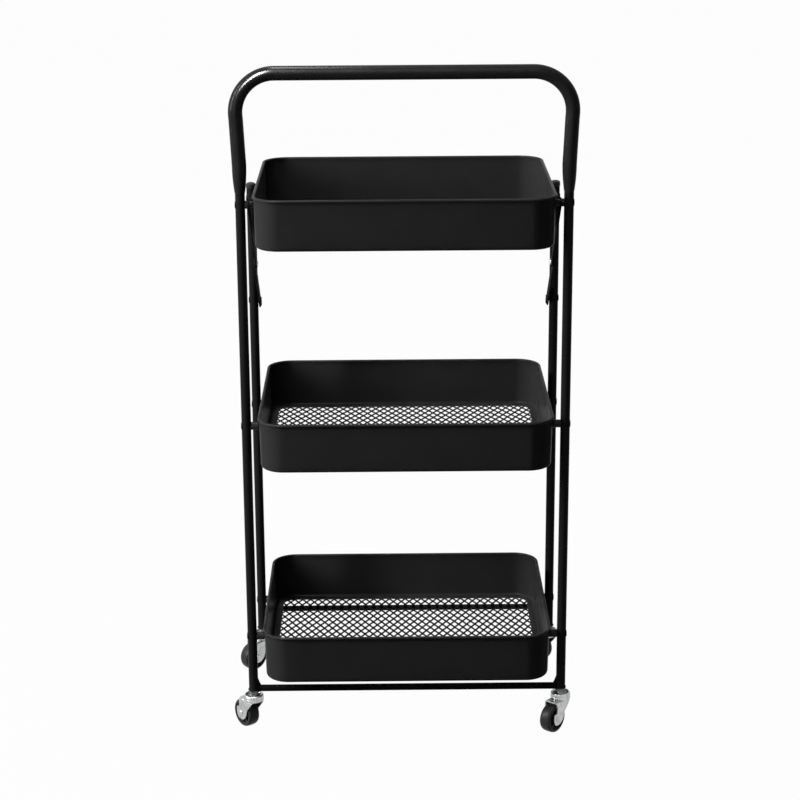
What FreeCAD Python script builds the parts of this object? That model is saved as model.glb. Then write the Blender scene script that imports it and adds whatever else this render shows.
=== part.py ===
import FreeCAD, Part
import math
import os
import re
import Sketcher
from FreeCAD import Vector

doc = FreeCAD.newDocument("FoldingCart")

# Driving sizes in millimetres and degrees, one named cell each
driving_sizes = {
    "leg_spacing": 438.0,
    "leg_diameter": 13.2,
    "tube_wall": 1.2,
    "leg_foot": 58.5,
    "leg_joint": 779.0,
    "frame_gap": 227.0,
    "handle_diameter": 19.3,
    "handle_wall": 1.4,
    "handle_height": 938.0,
    "handle_bend": 52.0,
    "handle_flare": 3.1,
    "swage_length": 37.0,
    "spigot_length": 10.0,
    "front_crossbar_diameter": 9.6,
    "front_crossbar_height": 63.6,
    "gusset_height": 12.0,
    "gusset_width": 4.5,
    "gusset_thickness": 4.0,
    "rear_crossbar_diameter": 8.4,
    "rear_crossbar_height": 82.2,
    "rear_crossbar_setback": 24.0,
    "rear_crossbar_bend": 14.0,
    "rear_leg_top": 748.0,
    "cap_diameter": 14.8,
    "cap_skirt": 5.0,
    "cap_crown": 3.5,
    "tray_width": 402.4,
    "tray_depth": 326.0,
    "tray_overhang": 38.0,
    "tray_height": 68.2,
    "tray_corner": 34.0,
    "tray_foot_round": 5.0,
    "tray_draft": 1.2,
    "sheet_thickness": 1.0,
    "bead_diameter": 4.2,
    "floor_border": 12.5,
    "floor_corner": 19.0,
    "top_floor": 706.4,
    "middle_floor": 398.0,
    "low_floor": 86.8,
    "front_pin_drop": 10.8,
    "rear_pin_rise": 20.9,
    "pin_diameter": 6.0,
    "pin_head_diameter": 10.0,
    "pin_head_thickness": 1.2,
    "spacer_diameter": 11.0,
    "side_gap": 0.5,
    "running_gap": 0.05,
    "net_pitch_across": 24.5,
    "net_pitch_deep": 36.0,
    "net_strand": 3.0,
    "stay_foot_height": 577.5,
    "stay_knee_share": 0.6,
    "stay_thickness": 2.0,
    "stay_gap": 0.4,
    "stay_inset": 1.05,
    "upper_stay_width": 14.0,
    "lower_stay_width": 17.0,
    "lower_stay_tail": 6.0,
    "stay_pin_diameter": 5.0,
    "stay_head_diameter": 9.5,
    "stay_head_thickness": 1.5,
    "knee_back_thickness": 0.7,
    "wheel_diameter": 41.4,
    "wheel_width": 17.0,
    "wheel_trail": 19.0,
    "axle_diameter": 6.0,
    "fork_gap": 1.0,
    "fork_thickness": 1.8,
    "fork_crown": 45.6,
    "cup_diameter": 28.5,
    "cup_top": 54.8,
    "neck_diameter": 14.0,
    "neck_base": 51.1,
    "swivel_pin_diameter": 8.0,
    "stem_length": 28.0,
    "front_left_swivel": 128.0,
    "front_right_swivel": 230.0,
    "rear_left_swivel": 224.0,
    "rear_right_swivel": 130.0,
    "centre_x": -9.4542,
    "centre_y": 125.0,
}

sheet = doc.addObject("Spreadsheet::Sheet", "Sizes")
for row, (alias, number) in enumerate(driving_sizes.items(), start=1):
    sheet.set("A%d" % row, alias)
    sheet.set("B%d" % row, str(number))
    sheet.setAlias("B%d" % row, alias)
sheet.recompute()


# Lengths worked out of the driving sizes, and their links to the sheet
def linked(text):
    def prefix(match):
        word = match.group()
        return "Sizes." + word if word in driving_sizes else word
    return re.sub(r"[a-z_]+[a-z0-9_]*", prefix, text)


def number_of(text):
    sheet.set("D1", "=" + text)
    sheet.recompute()
    found = sheet.get("D1")
    return float(getattr(found, "Value", found))


def bind(target, path, text):
    target.setExpression(path, linked(text))


# Sketch, pad, pocket and revolve steps shared by the sub-parts
def add_body(label):
    body = doc.addObject("PartDesign::Body", label)
    body.Label = label
    return body


def origin_part(body, role):
    for feature in body.Origin.OriginFeatures:
        if feature.Role == role:
            return feature
    raise ValueError(role)


def add_sketch(body, name, role, offset=None):
    sketch = body.newObject("Sketcher::SketchObject", body.Label + "_" + name)
    sketch.AttachmentSupport = [(origin_part(body, role), "")]
    sketch.MapMode = "FlatFace"
    if offset:
        bind(sketch, "AttachmentOffset.Base.z", offset)
    return sketch


def hold(sketch, kind, geometry, point, text):
    index = sketch.addConstraint(Sketcher.Constraint(kind, geometry, point, number_of(text)))
    bind(sketch, "Constraints[%d]" % index, text)


def draw_circle(sketch, across, up, diameter):
    centre = Vector(number_of(across), number_of(up), 0)
    radius = number_of("(%s) / 2" % diameter)
    geometry = sketch.addGeometry(Part.Circle(centre, Vector(0, 0, 1), radius), False)
    hold(sketch, "DistanceX", geometry, 3, across)
    hold(sketch, "DistanceY", geometry, 3, up)
    index = sketch.addConstraint(Sketcher.Constraint("Radius", geometry, radius))
    bind(sketch, "Constraints[%d]" % index, "(%s) / 2" % diameter)


def draw_outline(sketch, corners):
    points = [Vector(number_of(across), number_of(up), 0) for across, up in corners]
    lines = []
    for start, end in zip(points, points[1:] + points[:1]):
        lines.append(sketch.addGeometry(Part.LineSegment(start, end), False))
    for line, following in zip(lines, lines[1:] + lines[:1]):
        sketch.addConstraint(Sketcher.Constraint("Coincident", line, 2, following, 1))
    for line, (across, up) in zip(lines, corners):
        hold(sketch, "DistanceX", line, 1, across)
        hold(sketch, "DistanceY", line, 1, up)
    return lines


def draw_slot(sketch, start, end, width):
    first, last = number_of(start), number_of(end)
    half = number_of("(%s) / 2" % width)
    side = Vector(0, half, 0)
    normal = Vector(0, 0, 1)
    low = sketch.addGeometry(Part.LineSegment(Vector(first, -half, 0), Vector(last, -half, 0)), False)
    far_circle = Part.Circle(Vector(last, 0, 0), normal, half)
    far = sketch.addGeometry(Part.ArcOfCircle(far_circle, -math.pi / 2, math.pi / 2), False)
    high = sketch.addGeometry(Part.LineSegment(Vector(last, 0, 0) + side, Vector(first, 0, 0) + side), False)
    near_circle = Part.Circle(Vector(first, 0, 0), normal, half)
    near = sketch.addGeometry(Part.ArcOfCircle(near_circle, math.pi / 2, 1.5 * math.pi), False)
    for before, before_end, after, after_end in [(low, 2, far, 1), (far, 2, high, 1),
                                                 (high, 2, near, 1), (near, 2, low, 1)]:
        sketch.addConstraint(Sketcher.Constraint("Tangent", before, before_end, after, after_end))
    hold(sketch, "DistanceX", far, 3, end)
    hold(sketch, "DistanceX", near, 3, start)
    sketch.addConstraint(Sketcher.Constraint("PointOnObject", far, 3, -1))
    sketch.addConstraint(Sketcher.Constraint("PointOnObject", near, 3, -1))
    index = sketch.addConstraint(Sketcher.Constraint("Radius", far, half))
    bind(sketch, "Constraints[%d]" % index, "(%s) / 2" % width)


def draw_rounded(sketch, half, front, back, radius):
    reach, low, high, turn = number_of(half), number_of(front), number_of(back), number_of(radius)
    corners = [(reach - turn, low + turn, -0.5), (reach - turn, high - turn, 0.0),
               (turn - reach, high - turn, 0.5), (turn - reach, low + turn, 1.0)]
    arcs = []
    for across, up, start in corners:
        circle = Part.Circle(Vector(across, up, 0), Vector(0, 0, 1), turn)
        arc = Part.ArcOfCircle(circle, start * math.pi, (start + 0.5) * math.pi)
        arcs.append((sketch.addGeometry(arc, False), arc.StartPoint, arc.EndPoint))
    lines = []
    for (arc, _, end), (following, begin, _) in zip(arcs, arcs[1:] + arcs[:1]):
        line = sketch.addGeometry(Part.LineSegment(end, begin), False)
        sketch.addConstraint(Sketcher.Constraint("Tangent", arc, 2, line, 1))
        sketch.addConstraint(Sketcher.Constraint("Tangent", line, 2, following, 1))
        lines.append(line)
    for line, kind, position, text in [(lines[0], "Vertical", "DistanceX", half),
                                       (lines[1], "Horizontal", "DistanceY", back),
                                       (lines[2], "Vertical", "DistanceX", "-(%s)" % half),
                                       (lines[3], "Horizontal", "DistanceY", front)]:
        sketch.addConstraint(Sketcher.Constraint(kind, line))
        hold(sketch, position, line, 1, text)
    for arc, _, _ in arcs:
        index = sketch.addConstraint(Sketcher.Constraint("Radius", arc, turn))
        bind(sketch, "Constraints[%d]" % index, radius)


def pad(body, sketch, length, centred=False, reverse=False):
    feature = body.newObject("PartDesign::Pad", sketch.Name + "_pad")
    feature.Profile = sketch
    bind(feature, "Length", length)
    feature.Midplane = centred
    feature.Reversed = reverse
    return feature


def cut_through(body, sketch):
    feature = body.newObject("PartDesign::Pocket", sketch.Name + "_cut")
    feature.Profile = sketch
    feature.Type = "ThroughAll"
    feature.Midplane = True
    return feature


def cut_centred(body, sketch, length):
    feature = body.newObject("PartDesign::Pocket", sketch.Name + "_cut")
    feature.Profile = sketch
    bind(feature, "Length", length)
    feature.Midplane = True
    return feature


def revolve(body, sketch, axis):
    feature = body.newObject("PartDesign::Revolution", sketch.Name + "_turn")
    feature.Profile = sketch
    feature.ReferenceAxis = (sketch, [axis])
    feature.Angle = 360.0
    return feature


def place(target, across, deep, up, axis=None, angle=None):
    if axis:
        target.Placement = FreeCAD.Placement(Vector(0, 0, 0), FreeCAD.Rotation(axis, 45))
        bind(target, "Placement.Rotation.Angle", angle)
    bind(target, "Placement.Base.x", "(%s) - centre_x" % across)
    bind(target, "Placement.Base.y", "(%s) - centre_y" % deep)
    bind(target, "Placement.Base.z", up)


# Positions shared by what fits together
left_leg = "-leg_spacing / 2"
right_leg = "leg_spacing / 2"
leg_bore = "leg_diameter - 2 * tube_wall"
leg_inner_face = "leg_spacing / 2 - leg_diameter / 2"
leg_outer_face = "leg_spacing / 2 + leg_diameter / 2"
front_pin_rise = "tray_height - front_pin_drop"
floors = {"top": "top_floor", "middle": "middle_floor", "low": "low_floor"}
sides = {"left": left_leg, "right": right_leg}
stay_drop = "(top_floor + %s - stay_foot_height)" % front_pin_rise
stay_length = "sqrt(frame_gap ^ 2 + %s ^ 2)" % stay_drop
stay_slope = "atan2(%s; frame_gap)" % stay_drop
parts = []


# Front and rear legs, straight steel tubes drilled for the tray and stay pins
def leg_tube(label, across, deep, top, drillings):
    body = add_body(label)
    section = add_sketch(body, "section", "XY_Plane", "leg_foot")
    draw_circle(section, "0", "0", "leg_diameter")
    draw_circle(section, "0", "0", leg_bore)
    pad(body, section, "(%s) - leg_foot" % top)
    holes = add_sketch(body, "holes", "YZ_Plane")
    for height, diameter in drillings:
        draw_circle(holes, "0", height, diameter)
    cut_through(body, holes)
    place(body, across, deep, "0")
    parts.append(body)


for side, across in sides.items():
    front_holes = [("%s + %s" % (floor, front_pin_rise), "pin_diameter") for floor in floors.values()]
    rear_holes = [("%s + rear_pin_rise" % floor, "pin_diameter") for floor in floors.values()]
    rear_holes.append(("stay_foot_height", "stay_pin_diameter"))
    leg_tube("front_leg_" + side, across, "0", "leg_joint", front_holes)
    leg_tube("rear_leg_" + side, across, "frame_gap", "rear_leg_top", rear_holes)


# Handle, a bent tube whose ends are swaged down to plug into the front legs
handle = add_body("handle")
bow = add_sketch(handle, "bow", "XZ_Plane")
foot_x = number_of("leg_spacing / 2")
foot_z = number_of("leg_joint + swage_length")
bar_z = number_of("handle_height")
bend = number_of("handle_bend")
lean = math.atan2(number_of("handle_flare"), bar_z - bend - foot_z)
knee_x = foot_x + (bar_z - bend * (1 - math.sin(lean)) - foot_z) * math.tan(lean)
arc_x = knee_x - bend * math.cos(lean)
arc_z = bar_z - bend
knee_z = arc_z - bend * math.sin(lean)
bow_axis = Vector(0, 0, 1)
left_line = bow.addGeometry(Part.LineSegment(Vector(-foot_x, foot_z, 0), Vector(-knee_x, knee_z, 0)), False)
left_circle = Part.Circle(Vector(-arc_x, arc_z, 0), bow_axis, bend)
left_arc = bow.addGeometry(Part.ArcOfCircle(left_circle, math.pi / 2, math.pi + lean), False)
bar_line = bow.addGeometry(Part.LineSegment(Vector(-arc_x, bar_z, 0), Vector(arc_x, bar_z, 0)), False)
right_circle = Part.Circle(Vector(arc_x, arc_z, 0), bow_axis, bend)
right_arc = bow.addGeometry(Part.ArcOfCircle(right_circle, -lean, math.pi / 2), False)
right_line = bow.addGeometry(Part.LineSegment(Vector(knee_x, knee_z, 0), Vector(foot_x, foot_z, 0)), False)
bow.addConstraint(Sketcher.Constraint("Tangent", left_line, 2, left_arc, 2))
bow.addConstraint(Sketcher.Constraint("Tangent", left_arc, 1, bar_line, 1))
bow.addConstraint(Sketcher.Constraint("Tangent", bar_line, 2, right_arc, 2))
bow.addConstraint(Sketcher.Constraint("Tangent", right_arc, 1, right_line, 1))
bow.addConstraint(Sketcher.Constraint("Horizontal", bar_line))
hold(bow, "DistanceX", left_line, 1, left_leg)
hold(bow, "DistanceY", left_line, 1, "leg_joint + swage_length")
hold(bow, "DistanceX", right_line, 2, right_leg)
hold(bow, "DistanceY", right_line, 2, "leg_joint + swage_length")
hold(bow, "DistanceY", bar_line, 1, "handle_height")
for arc in [left_arc, right_arc]:
    radius_index = bow.addConstraint(Sketcher.Constraint("Radius", arc, bend))
    bind(bow, "Constraints[%d]" % radius_index, "handle_bend")
flare_run = "(handle_height - handle_bend - leg_joint - swage_length)"
flare_angle = "atan2(handle_flare; %s)" % flare_run
for arc, sign in [(left_arc, "-1"), (right_arc, "1")]:
    hold(bow, "DistanceX", arc, 3,
         "%s * (leg_spacing / 2 + %s * tan(%s) - handle_bend / cos(%s))"
         % (sign, flare_run, flare_angle, flare_angle))
ring = add_sketch(handle, "ring", "XY_Plane", "leg_joint + swage_length")
draw_circle(ring, left_leg, "0", "handle_diameter")
draw_circle(ring, left_leg, "0", "handle_diameter - 2 * handle_wall")
tube = handle.newObject("PartDesign::AdditivePipe", "handle_tube")
tube.Profile = ring
tube.Spine = (bow, ["Edge%d" % number for number in range(1, 6)])
doc.recompute()
for side, across in sides.items():
    swage = add_sketch(handle, "swage_" + side, "XZ_Plane")
    sign = "-" if side == "left" else "+"
    bore_half = "(leg_diameter / 2 - tube_wall)"
    widening = "(handle_diameter - leg_diameter) / 2"
    profile = [
        ("%s - tube_wall" % bore_half, "-spigot_length"), (bore_half, "-spigot_length"), (bore_half, "0"),
        ("leg_diameter / 2", "0"),
        ("leg_diameter / 2 + 0.25 * %s" % widening, "swage_length * 0.13"),
        ("leg_diameter / 2 + 0.5 * %s" % widening, "swage_length * 0.3"),
        ("leg_diameter / 2 + 0.78 * %s" % widening, "swage_length * 0.52"),
        ("leg_diameter / 2 + 0.95 * %s" % widening, "swage_length * 0.76"),
    ]
    outline = []
    for outward, rise in profile:
        outline.append(("%s %s (%s)" % (across, sign, outward), "leg_joint + %s" % rise))
    top_outer = "%s %s handle_diameter / 2" % (across, sign)
    top_inner = "%s %s (handle_diameter / 2 - handle_wall)" % (across, sign)
    outline.append((top_outer, "leg_joint + swage_length"))
    outline.append((top_inner, "leg_joint + swage_length"))
    outline.append(("%s %s (%s - tube_wall)" % (across, sign, bore_half), "leg_joint + tube_wall"))
    draw_outline(swage, outline)
    axis = swage.addGeometry(Part.LineSegment(Vector(number_of(across), 0, 0),
                                              Vector(number_of(across), 100, 0)), True)
    swage.addConstraint(Sketcher.Constraint("Vertical", axis))
    hold(swage, "DistanceX", axis, 1, across)
    hold(swage, "DistanceY", axis, 1, "0")
    hold(swage, "DistanceY", axis, 2, "leg_joint")
    revolve(handle, swage, "Axis0")
place(handle, "0", "0", "0")
parts.append(handle)

# Front crossbar, a thin tube between the leg feet with a weld gusset at each end
front_bar = add_body("front_crossbar")
bar_section = add_sketch(front_bar, "section", "YZ_Plane")
draw_circle(bar_section, "0", "0", "front_crossbar_diameter")
draw_circle(bar_section, "0", "0", "front_crossbar_diameter - 2 * tube_wall")
pad(front_bar, bar_section, "leg_spacing", centred=True)
gussets = add_sketch(front_bar, "gussets", "XZ_Plane")
for across, sign in [(left_leg, "+"), (right_leg, "-")]:
    face = "%s %s leg_diameter / 2" % (across, sign)
    seat = "front_crossbar_diameter / 2 - tube_wall / 2"
    gusset_top = "front_crossbar_diameter / 2 + gusset_height"
    draw_outline(gussets, [(across, seat), ("%s %s gusset_width" % (face, sign), seat),
                           (face, gusset_top), (across, gusset_top)])
pad(front_bar, gussets, "gusset_thickness", centred=True)
saddles = add_sketch(front_bar, "saddles", "XY_Plane")
for across in sides.values():
    draw_circle(saddles, across, "0", "leg_diameter")
cut_through(front_bar, saddles)
place(front_bar, "0", "0", "front_crossbar_height")
parts.append(front_bar)

# Rear crossbar, set back behind the legs so that the low tray swings clear of it
rear_bar = add_body("rear_crossbar")
loop = add_sketch(rear_bar, "loop", "XY_Plane")
half_span = number_of("leg_spacing / 2")
setback = number_of("rear_crossbar_setback")
turn = number_of("rear_crossbar_bend")
loop_lines = [
    loop.addGeometry(Part.LineSegment(Vector(-half_span, 0, 0), Vector(-half_span, setback - turn, 0)), False),
    loop.addGeometry(Part.ArcOfCircle(Part.Circle(Vector(-half_span + turn, setback - turn, 0), bow_axis, turn),
                                      math.pi / 2, math.pi), False),
    loop.addGeometry(Part.LineSegment(Vector(-half_span + turn, setback, 0),
                                      Vector(half_span - turn, setback, 0)), False),
    loop.addGeometry(Part.ArcOfCircle(Part.Circle(Vector(half_span - turn, setback - turn, 0), bow_axis, turn),
                                      0, math.pi / 2), False),
    loop.addGeometry(Part.LineSegment(Vector(half_span, setback - turn, 0), Vector(half_span, 0, 0)), False),
]
for before, before_end, after, after_end in [(0, 2, 1, 2), (1, 1, 2, 1), (2, 2, 3, 2), (3, 1, 4, 1)]:
    loop.addConstraint(Sketcher.Constraint("Tangent", loop_lines[before], before_end,
                                           loop_lines[after], after_end))
loop.addConstraint(Sketcher.Constraint("Horizontal", loop_lines[2]))
hold(loop, "DistanceX", loop_lines[0], 1, left_leg)
hold(loop, "DistanceY", loop_lines[0], 1, "0")
hold(loop, "DistanceX", loop_lines[4], 2, right_leg)
hold(loop, "DistanceY", loop_lines[4], 2, "0")
hold(loop, "DistanceY", loop_lines[2], 1, "rear_crossbar_setback")
for arc, arc_x in [(loop_lines[1], left_leg + " + rear_crossbar_bend"),
                   (loop_lines[3], right_leg + " - rear_crossbar_bend")]:
    radius_index = loop.addConstraint(Sketcher.Constraint("Radius", arc, turn))
    bind(loop, "Constraints[%d]" % radius_index, "rear_crossbar_bend")
    hold(loop, "DistanceX", arc, 3, arc_x)
loop_ring = add_sketch(rear_bar, "ring", "XZ_Plane")
draw_circle(loop_ring, left_leg, "0", "rear_crossbar_diameter")
draw_circle(loop_ring, left_leg, "0", "rear_crossbar_diameter - 2 * tube_wall")
loop_tube = rear_bar.newObject("PartDesign::AdditivePipe", "rear_crossbar_tube")
loop_tube.Profile = loop_ring
loop_tube.Spine = (loop, ["Edge%d" % number for number in range(1, 6)])
doc.recompute()
loop_saddles = add_sketch(rear_bar, "saddles", "XY_Plane")
for across in sides.values():
    draw_circle(loop_saddles, across, "0", "leg_diameter")
cut_through(rear_bar, loop_saddles)
place(rear_bar, "0", "frame_gap", "rear_crossbar_height")
parts.append(rear_bar)

# Plastic caps pushed over the open tops of the rear legs
for side, across in sides.items():
    cap = add_body("rear_cap_" + side)
    cap_profile = add_sketch(cap, "profile", "XZ_Plane")
    draw_outline(cap_profile, [
        ("leg_diameter / 2", "-cap_skirt"), ("cap_diameter / 2", "-cap_skirt"),
        ("cap_diameter / 2", "cap_crown * 0.45"), ("cap_diameter * 0.4", "cap_crown * 0.85"),
        ("cap_diameter * 0.2", "cap_crown"), ("0", "cap_crown"), ("0", "0"), ("leg_diameter / 2", "0"),
    ])
    revolve(cap, cap_profile, "V_Axis")
    place(cap, across, "frame_gap", "rear_leg_top")
    parts.append(cap)


# Trays, pressed sheet pans with a rolled rim and a floor cut out for the net
def edges_where(shape, test):
    return ["Edge%d" % number for number, edge in enumerate(shape.Edges, start=1) if test(edge)]


def flat_at(edge, height):
    low, high = edge.Vertexes[0].Z, edge.Vertexes[-1].Z
    return abs(low - height) < 0.01 and abs(high - height) < 0.01


def round_edges(body, base, radius, test):
    doc.recompute()
    feature = body.newObject("PartDesign::Fillet", base.Name + "_round")
    feature.Base = (base, edges_where(base.Shape, test))
    bind(feature, "Radius", radius)
    doc.recompute()
    return feature


draft_run = "tray_height * tan(tray_draft)"
floor_half = "tray_width / 2 - %s - floor_border" % draft_run
floor_front = "-tray_overhang + %s + floor_border" % draft_run
floor_back = "tray_depth - tray_overhang - %s - floor_border" % draft_run


def tray_pan(level, floor):
    body = add_body("tray_" + level)
    mouth = add_sketch(body, "mouth", "XY_Plane", "tray_height")
    draw_rounded(mouth, "tray_width / 2", "-tray_overhang", "tray_depth - tray_overhang", "tray_corner")
    block = pad(body, mouth, "tray_height", reverse=True)
    bind(block, "TaperAngle", "-tray_draft")
    well = add_sketch(body, "well", "XY_Plane", "tray_height")
    draw_rounded(well, "tray_width / 2 - sheet_thickness", "-tray_overhang + sheet_thickness",
                 "tray_depth - tray_overhang - sheet_thickness", "tray_corner - sheet_thickness")
    pressing = body.newObject("PartDesign::Pocket", body.Label + "_pressing")
    pressing.Profile = well
    bind(pressing, "Length", "tray_height - sheet_thickness")
    bind(pressing, "TaperAngle", "-tray_draft")
    pan_floor = number_of("sheet_thickness")
    inner_foot = round_edges(body, pressing, "tray_foot_round - sheet_thickness",
                             lambda edge: flat_at(edge, pan_floor))
    hollow = round_edges(body, inner_foot, "tray_foot_round", lambda edge: flat_at(edge, 0))
    rim_height = number_of("tray_height")
    reach = number_of("tray_width / 2 - sheet_thickness / 2")
    near = number_of("-tray_overhang + sheet_thickness / 2")
    far = number_of("tray_depth - tray_overhang - sheet_thickness / 2")

    def outer_rim(edge):
        outside = False
        for vertex in edge.Vertexes:
            outside = outside or abs(vertex.X) > reach or vertex.Y < near or vertex.Y > far
        return flat_at(edge, rim_height) and outside
    bead = add_sketch(body, "bead", "YZ_Plane")
    draw_circle(bead, "-tray_overhang", "tray_height", "bead_diameter")
    rim = body.newObject("PartDesign::AdditivePipe", body.Label + "_rim")
    rim.Profile = bead
    rim.Spine = (hollow, edges_where(hollow.Shape, outer_rim))
    doc.recompute()
    opening = add_sketch(body, "opening", "XY_Plane")
    draw_rounded(opening, floor_half, floor_front, floor_back, "floor_corner")
    cut_centred(body, opening, "4 * sheet_thickness")
    pins = add_sketch(body, "pins", "YZ_Plane")
    draw_circle(pins, "0", front_pin_rise, "pin_diameter + 2 * running_gap")
    draw_circle(pins, "frame_gap", "rear_pin_rise", "pin_diameter + 2 * running_gap")
    cut_through(body, pins)
    place(body, "0", "0", floor)
    parts.append(body)


for level, floor in floors.items():
    tray_pan(level, floor)


# Floor nets, one flat sheet each with slit and stretched lozenge gaps
def rounded_outline(half, front, back, radius):
    corners = [(half - radius, front + radius, -90), (half - radius, back - radius, 0),
               (-half + radius, back - radius, 90), (-half + radius, front + radius, 180)]
    edges = []
    ends = []
    for across, deep, start in corners:
        circle = Part.Circle(Vector(across, deep, 0), Vector(0, 0, 1), radius)
        arc = Part.ArcOfCircle(circle, math.radians(start), math.radians(start + 90))
        edges.append(arc.toShape())
        ends.append((arc.StartPoint, arc.EndPoint))
    lines = []
    for (_, end), (start, _) in zip(ends, ends[1:] + ends[:1]):
        lines.append(Part.makeLine(end, start))
    ordered = [edge for pair in zip(edges, lines) for edge in pair]
    return Part.Wire(ordered)


def floor_net(level, floor):
    half, front, back = number_of(floor_half), number_of(floor_front), number_of(floor_back)
    across_pitch = number_of("net_pitch_across")
    deep_pitch = number_of("net_pitch_deep")
    strand = number_of("net_strand")
    shrink = 1 - strand / (across_pitch * deep_pitch) * math.hypot(across_pitch, deep_pitch)
    reach_x = across_pitch / 2 * shrink
    reach_y = deep_pitch / 2 * shrink
    middle = (front + back) / 2
    loops = [rounded_outline(half, front, back, number_of("floor_corner"))]
    rows = int((back - front) / deep_pitch) + 2
    columns = int(half / across_pitch) + 2
    for row in range(-rows, rows + 1):
        for column in range(-columns, columns + 1):
            x = (column + 0.5 * (row % 2)) * across_pitch
            y = middle + row * deep_pitch / 2
            if abs(x) + reach_x > half - strand or abs(y - middle) + reach_y > (back - front) / 2 - strand:
                continue
            gap = [Vector(x - reach_x, y, 0), Vector(x, y - reach_y, 0), Vector(x + reach_x, y, 0),
                   Vector(x, y + reach_y, 0), Vector(x - reach_x, y, 0)]
            loops.append(Part.makePolygon(gap))
    face = Part.Face(loops, "Part::FaceMakerBullseye")
    net = doc.addObject("Part::Feature", "net_" + level)
    net.Label = "net_" + level
    net.Shape = face.extrude(Vector(0, 0, number_of("sheet_thickness")))
    place(net, "0", "0", floor)
    parts.append(net)


for level, floor in floors.items():
    floor_net(level, floor)


# Tray pins, riveted in the legs, each with a spacer and a head inside the tray
def pin_profile(body, steps):
    sketch = add_sketch(body, "profile", "XZ_Plane")
    outline = []
    for start, end, diameter in steps:
        outline.append((start, "(%s) / 2" % diameter))
        outline.append((end, "(%s) / 2" % diameter))
    outline.append((steps[-1][1], "0"))
    outline.append((steps[0][0], "0"))
    draw_outline(sketch, outline)
    revolve(body, sketch, "H_Axis")


def stay_layer(count):
    return "(%s - stay_inset - %d * stay_thickness - %d * stay_gap)" % (leg_inner_face, count, count - 1)


def tray_pin(label, side, deep, height, wall_drop, through_stay):
    body = add_body(label)
    wall_out = "(tray_width / 2 - (%s) * tan(tray_draft))" % wall_drop
    wall_in = "(%s - sheet_thickness)" % wall_out
    steps = [("%s - side_gap - pin_head_thickness" % wall_in, "%s - side_gap" % wall_in, "pin_head_diameter"),
             ("%s - side_gap" % wall_in, "%s + side_gap" % wall_out, "pin_diameter")]
    if through_stay:
        inner = stay_layer(2)
        steps += [("%s + side_gap" % wall_out, "%s - stay_gap" % inner, "spacer_diameter - 2 * tube_wall"),
                  ("%s - stay_gap" % inner, "%s + stay_thickness + stay_gap" % inner, "pin_diameter"),
                  ("%s + stay_thickness + stay_gap" % inner, leg_inner_face, "spacer_diameter")]
    else:
        steps += [("%s + side_gap" % wall_out, leg_inner_face, "spacer_diameter")]
    steps += [(leg_inner_face, leg_outer_face, "pin_diameter"),
              (leg_outer_face, "%s + 0.5 * pin_head_thickness" % leg_outer_face, "pin_head_diameter")]
    pin_profile(body, steps)
    place(body, "0", deep, height, Vector(0, 0, 1), "180" if side == "left" else "0")
    parts.append(body)


for side in sides:
    for level, floor in floors.items():
        tray_pin("front_pin_%s_%s" % (level, side), side, "0", "%s + %s" % (floor, front_pin_rise),
                 "front_pin_drop", level == "top")
        tray_pin("rear_pin_%s_%s" % (level, side), side, "frame_gap", "%s + rear_pin_rise" % floor,
                 "tray_height - rear_pin_rise", False)


# Folding stays, two flat links a side that meet at a knee rivet
def stay_link(label, layer, start, end, width, holes):
    body = add_body(label)
    sketch = add_sketch(body, "outline", "YZ_Plane", layer)
    draw_slot(sketch, start, end, width)
    pad(body, sketch, "stay_thickness")
    bores = add_sketch(body, "bores", "YZ_Plane")
    for along, diameter in holes:
        draw_circle(bores, along, "0", diameter)
    cut_through(body, bores)
    return body


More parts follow.
